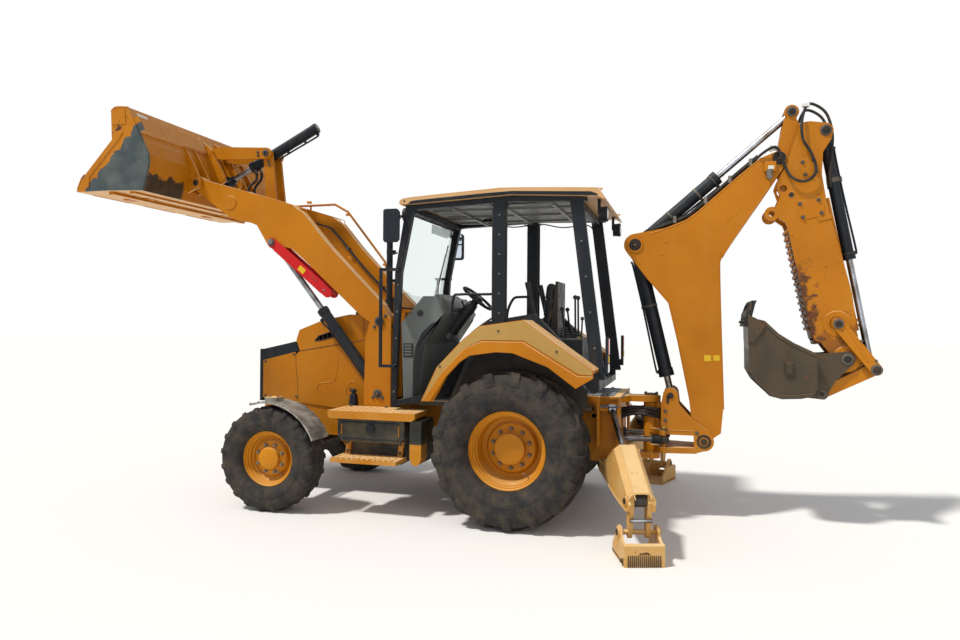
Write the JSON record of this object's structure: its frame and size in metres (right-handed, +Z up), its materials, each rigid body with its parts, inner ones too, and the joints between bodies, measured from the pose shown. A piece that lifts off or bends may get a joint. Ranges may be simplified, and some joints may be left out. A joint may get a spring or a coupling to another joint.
{
  "type": "backhoe loader",
  "caption": "Open-cab backhoe loader with raised loader bucket, swinging extendible backhoe, stabilisers let down and working joints throughout.",
  "frame": {"origin": "on the ground under the middle of the whole machine", "axes": "+X towards the backhoe at the rear, +Y to the machine's right, +Z up"},
  "size_m": [7.2065, 3.2722, 3.7623],
  "materials": {
    "paint": "semi-gloss, dusty",
    "black_paint": "satin",
    "dark_metal": "matt",
    "rod_steel": "polished",
    "grey_plastic": "matt",
    "tyre": "matt, dusty",
    "glass": "clear",
    "seat": "matt",
    "red_paint": "satin",
    "lamp": "satin",
    "bare_steel": "worn"
  },
  "bodies": {
    "frame": {"chassis": "paint", "axles": "dark_metal", "engine_block": "dark_metal", "hood_sides": "paint", "nose_grille": "black_paint", "loader_tower": "paint", "tank_steps": "paint", "cab_frame": "paint", "roof": "paint", "windscreen": "glass", "cab_floor": "dark_metal", "dash": "grey_plastic", "seat_cushions": "seat", "rear_fenders": "paint", "exhaust": "black_paint", "lamps": "lamp", "swing_barrels": "black_paint"},
    "hood": {"hood_lid": "paint"},
    "knuckle_left": {"knuckle_left": "dark_metal"},
    "wheel_front_left": {"tyre_front_left": "tyre", "rim_front_left": "paint"},
    "wheel_rear_left": {"tyre_rear_left": "tyre", "rim_rear_left": "paint"},
    "knuckle_right": {"knuckle_right": "dark_metal"},
    "wheel_front_right": {"tyre_front_right": "tyre", "rim_front_right": "paint"},
    "wheel_rear_right": {"tyre_rear_right": "tyre", "rim_rear_right": "paint"},
    "loader_arms": {"loader_arms": "paint", "lock_strut": "red_paint"},
    "loader_bucket": {"loader_bucket": "paint"},
    "tilt_lever": {"tilt_lever": "paint"},
    "tilt_link": {"tilt_link": "paint"},
    "tilt_barrel": {"tilt_barrel": "black_paint"},
    "tilt_rod": {"tilt_rod": "rod_steel"},
    "lift_barrels": {"lift_barrels": "black_paint"},
    "lift_rods": {"lift_rods": "rod_steel"},
    "swing_post": {"swing_post": "paint"},
    "boom": {"boom": "paint"},
    "stick": {"stick": "paint"},
    "stick_extension": {"stick_extension": "paint"},
    "hoe_bucket": {"hoe_bucket": "bare_steel"},
    "guide_link": {"guide_link": "paint"},
    "bucket_link": {"bucket_link": "paint"},
    "boom_barrel": {"boom_barrel": "black_paint"},
    "boom_rod": {"boom_rod": "rod_steel"},
    "stick_barrel": {"stick_barrel": "black_paint"},
    "stick_rod": {"stick_rod": "rod_steel"},
    "bucket_barrel": {"bucket_barrel": "black_paint"},
    "bucket_rod": {"bucket_rod": "rod_steel"},
    "swing_rod_left": {"swing_rod_left": "rod_steel"},
    "swing_rod_right": {"swing_rod_right": "rod_steel"},
    "leg_left": {"leg_left": "paint"},
    "pad_left": {"pad_left": "paint"},
    "leg_barrel_left": {"leg_barrel_left": "black_paint"},
    "leg_rod_left": {"leg_rod_left": "rod_steel"},
    "leg_right": {"leg_right": "paint"},
    "pad_right": {"pad_right": "paint"},
    "leg_barrel_right": {"leg_barrel_right": "black_paint"},
    "leg_rod_right": {"leg_rod_right": "rod_steel"}
  },
  "joints": [
    {"name": "steer_left", "type": "hinge", "parent": "frame", "child": "knuckle_left", "pos_m": [-1.573, -0.74, 0.47], "axis": [0, 0, 1], "range_deg": [-28, 28]},
    {"name": "wheel_front_left", "type": "hinge", "parent": "knuckle_left", "child": "wheel_front_left", "pos_m": [-1.573, -0.947, 0.47], "axis": [0, 1, 0], "continuous": true},
    {"name": "wheel_rear_left", "type": "hinge", "parent": "frame", "child": "wheel_rear_left", "pos_m": [0.627, -0.857, 0.655], "axis": [0, 1, 0], "continuous": true},
    {"name": "steer_right", "type": "hinge", "parent": "frame", "child": "knuckle_right", "pos_m": [-1.573, 0.74, 0.47], "axis": [0, 0, 1], "range_deg": [-28, 28]},
    {"name": "wheel_front_right", "type": "hinge", "parent": "knuckle_right", "child": "wheel_front_right", "pos_m": [-1.573, 0.947, 0.47], "axis": [0, 1, 0], "continuous": true},
    {"name": "wheel_rear_right", "type": "hinge", "parent": "frame", "child": "wheel_rear_right", "pos_m": [0.627, 0.857, 0.655], "axis": [0, 1, 0], "continuous": true},
    {"name": "hood_hinge", "type": "hinge", "parent": "frame", "child": "hood", "pos_m": [-0.977, 0, 1.776], "axis": [0, 1, 0], "range_deg": [0, 55]},
    {"name": "loader_lift", "type": "hinge", "parent": "frame", "child": "loader_arms", "pos_m": [-0.728, 0, 1.713], "axis": [0, 1, 0], "range_deg": [-69, 10.8]},
    {"name": "lift_barrel_pivot", "type": "hinge", "parent": "frame", "child": "lift_barrels", "pos_m": [-0.743, 0, 1.035], "axis": [0, 1, 0], "range_deg": [-55.87, 9.59]},
    {"name": "lift_rod_slide", "type": "slide", "parent": "lift_barrels", "child": "lift_rods", "axis": [-0.6227, 0, 0.7825], "range_m": [-0.692, 0.1125]},
    {"name": "bucket_tilt", "type": "hinge", "parent": "loader_arms", "child": "loader_bucket", "pos_m": [-2.753, 0, 3.1], "axis": [0, -1, 0], "range_deg": [-95, 57]},
    {"name": "tilt_lever_pivot", "type": "hinge", "parent": "loader_arms", "child": "tilt_lever", "pos_m": [-2.133, 0, 2.841], "axis": [0, -1, 0], "range_deg": [-64.66, 39.19]},
    {"name": "tilt_link_pivot", "type": "hinge", "parent": "tilt_lever", "child": "tilt_link", "pos_m": [-2.195, 0, 3.455], "axis": [0, -1, 0], "range_deg": [-38.68, 63.8]},
    {"name": "tilt_barrel_pivot", "type": "hinge", "parent": "tilt_lever", "child": "tilt_barrel", "pos_m": [-2.195, 0, 3.455], "axis": [0, -1, 0], "range_deg": [-30.64, 50.39]},
    {"name": "tilt_rod_slide", "type": "slide", "parent": "tilt_barrel", "child": "tilt_rod", "axis": [-0.8951, 0, -0.4458], "range_m": [-0.2558, 0.423]},
    {"name": "swing", "type": "hinge", "parent": "frame", "child": "swing_post", "pos_m": [1.727, 0, 0.69], "axis": [0, 0, 1], "range_deg": [-90, 90]},
    {"name": "swing_rod_left_slide", "type": "slide", "parent": "frame", "child": "swing_rod_left", "axis": [1, 0, 0], "range_m": [-0.195, 0.195]},
    {"name": "swing_rod_right_slide", "type": "slide", "parent": "frame", "child": "swing_rod_right", "axis": [1, 0, 0], "range_m": [-0.195, 0.195]},
    {"name": "boom_lift", "type": "hinge", "parent": "swing_post", "child": "boom", "pos_m": [2.186, 0, 0.686], "axis": [0, 1, 0], "range_deg": [-5, 120]},
    {"name": "boom_barrel_pivot", "type": "hinge", "parent": "boom", "child": "boom_barrel", "pos_m": [1.585, 0, 2.416], "axis": [0, -1, 0], "range_deg": [-9.99, 1.38]},
    {"name": "boom_rod_slide", "type": "slide", "parent": "boom_barrel", "child": "boom_rod", "axis": [0.2309, 0, -0.973], "range_m": [-0.0398, 0.8402]},
    {"name": "stick_turn", "type": "hinge", "parent": "boom", "child": "stick", "pos_m": [2.787, 0, 3.13], "axis": [0, -1, 0], "range_deg": [-1, 125]},
    {"name": "stick_barrel_pivot", "type": "hinge", "parent": "boom", "child": "stick_barrel", "pos_m": [1.585, 0, 2.416], "axis": [0, -1, 0], "range_deg": [-1.05, 7.15]},
    {"name": "stick_rod_slide", "type": "slide", "parent": "stick_barrel", "child": "stick_rod", "axis": [0.7595, 0, 0.6505], "range_m": [-0.73, 0.0108]},
    {"name": "stick_extend", "type": "slide", "parent": "stick", "child": "stick_extension", "axis": [0.205, 0, -0.9788], "range_m": [0, 1.07]},
    {"name": "hoe_bucket_turn", "type": "hinge", "parent": "stick_extension", "child": "hoe_bucket", "pos_m": [3.319, 0, 1.428], "axis": [0, -1, 0], "range_deg": [-5, 180]},
    {"name": "guide_link_pivot", "type": "hinge", "parent": "stick_extension", "child": "guide_link", "pos_m": [3.244, 0, 1.721], "axis": [0, -1, 0], "range_deg": [-4.23, 117.39]},
    {"name": "bucket_link_pivot", "type": "hinge", "parent": "guide_link", "child": "bucket_link", "pos_m": [3.532, 0, 1.345], "axis": [0, -1, 0], "range_deg": [-47.28, 2.29]},
    {"name": "bucket_barrel_pivot", "type": "hinge", "parent": "stick_extension", "child": "bucket_barrel", "pos_m": [3.151, 0, 3.346], "axis": [0, -1, 0], "range_deg": [-1.33, 12.93]},
    {"name": "bucket_rod_slide", "type": "slide", "parent": "bucket_barrel", "child": "bucket_rod", "axis": [0.187, 0, -0.9824], "range_m": [-0.7875, 0.0267]},
    {"name": "leg_left_raise", "type": "hinge", "parent": "frame", "child": "leg_left", "pos_m": [1.417, -0.49, 0.5], "axis": [-0.9511, -0.309, 0], "range_deg": [0, 60]},
    {"name": "pad_left_tip", "type": "hinge", "parent": "leg_left", "child": "pad_left", "pos_m": [1.71798, -1.41633, 0.2], "axis": [-0.9511, -0.309, 0], "range_deg": [-45, 25]},
    {"name": "leg_barrel_left_pivot", "type": "hinge", "parent": "leg_left", "child": "leg_barrel_left", "pos_m": [1.72602, -1.44106, 0.43], "axis": [-0.9511, -0.309, 0], "range_deg": [-3.43, 1]},
    {"name": "leg_rod_left_slide", "type": "slide", "parent": "leg_barrel_left", "child": "leg_rod_left", "axis": [-0.2687, 0.8271, 0.4936], "range_m": [-0.4913, 0.005]},
    {"name": "leg_right_raise", "type": "hinge", "parent": "frame", "child": "leg_right", "pos_m": [1.417, 0.49, 0.5], "axis": [0.9511, -0.309, 0], "range_deg": [0, 60]},
    {"name": "pad_right_tip", "type": "hinge", "parent": "leg_right", "child": "pad_right", "pos_m": [1.71798, 1.41633, 0.2], "axis": [0.9511, -0.309, 0], "range_deg": [-45, 25]},
    {"name": "leg_barrel_right_pivot", "type": "hinge", "parent": "leg_right", "child": "leg_barrel_right", "pos_m": [1.72602, 1.44106, 0.43], "axis": [0.9511, -0.309, 0], "range_deg": [-3.43, 1]},
    {"name": "leg_rod_right_slide", "type": "slide", "parent": "leg_barrel_right", "child": "leg_rod_right", "axis": [-0.2687, -0.8271, 0.4936], "range_m": [-0.4913, 0.005]}
  ],
  "couplings": [
    {"joint": "steer_right", "follows": "steer_left", "ratio": 1},
    {"joint": "lift_barrel_pivot", "follows": "loader_lift", "ratio": 0.79519},
    {"joint": "lift_rod_slide", "follows": "loader_lift", "m_per_rad": 0.57044},
    {"joint": "tilt_lever_pivot", "follows": "bucket_tilt", "ratio": 0.67006},
    {"joint": "tilt_link_pivot", "follows": "bucket_tilt", "ratio": -0.66107},
    {"joint": "tilt_barrel_pivot", "follows": "bucket_tilt", "ratio": -0.51993},
    {"joint": "tilt_rod_slide", "follows": "bucket_tilt", "m_per_rad": -0.2521},
    {"joint": "swing_rod_left_slide", "follows": "swing", "m_per_rad": 0.12096},
    {"joint": "swing_rod_right_slide", "follows": "swing", "m_per_rad": -0.12096},
    {"joint": "boom_barrel_pivot", "follows": "boom_lift", "ratio": -0.07491},
    {"joint": "boom_rod_slide", "follows": "boom_lift", "m_per_rad": 0.39877},
    {"joint": "stick_barrel_pivot", "follows": "stick_turn", "ratio": 0.04918},
    {"joint": "stick_rod_slide", "follows": "stick_turn", "m_per_rad": -0.33232},
    {"joint": "guide_link_pivot", "follows": "hoe_bucket_turn", "ratio": 0.64659},
    {"joint": "bucket_link_pivot", "follows": "hoe_bucket_turn", "ratio": -0.25709},
    {"joint": "bucket_barrel_pivot", "follows": "hoe_bucket_turn", "ratio": 0.06628},
    {"joint": "bucket_rod_slide", "follows": "hoe_bucket_turn", "m_per_rad": -0.24908},
    {"joint": "leg_barrel_left_pivot", "follows": "leg_left_raise", "ratio": -0.04045},
    {"joint": "leg_rod_left_slide", "follows": "leg_left_raise", "m_per_rad": -0.46436},
    {"joint": "leg_barrel_right_pivot", "follows": "leg_right_raise", "ratio": -0.04045},
    {"joint": "leg_rod_right_slide", "follows": "leg_right_raise", "m_per_rad": -0.46436}
  ]
}
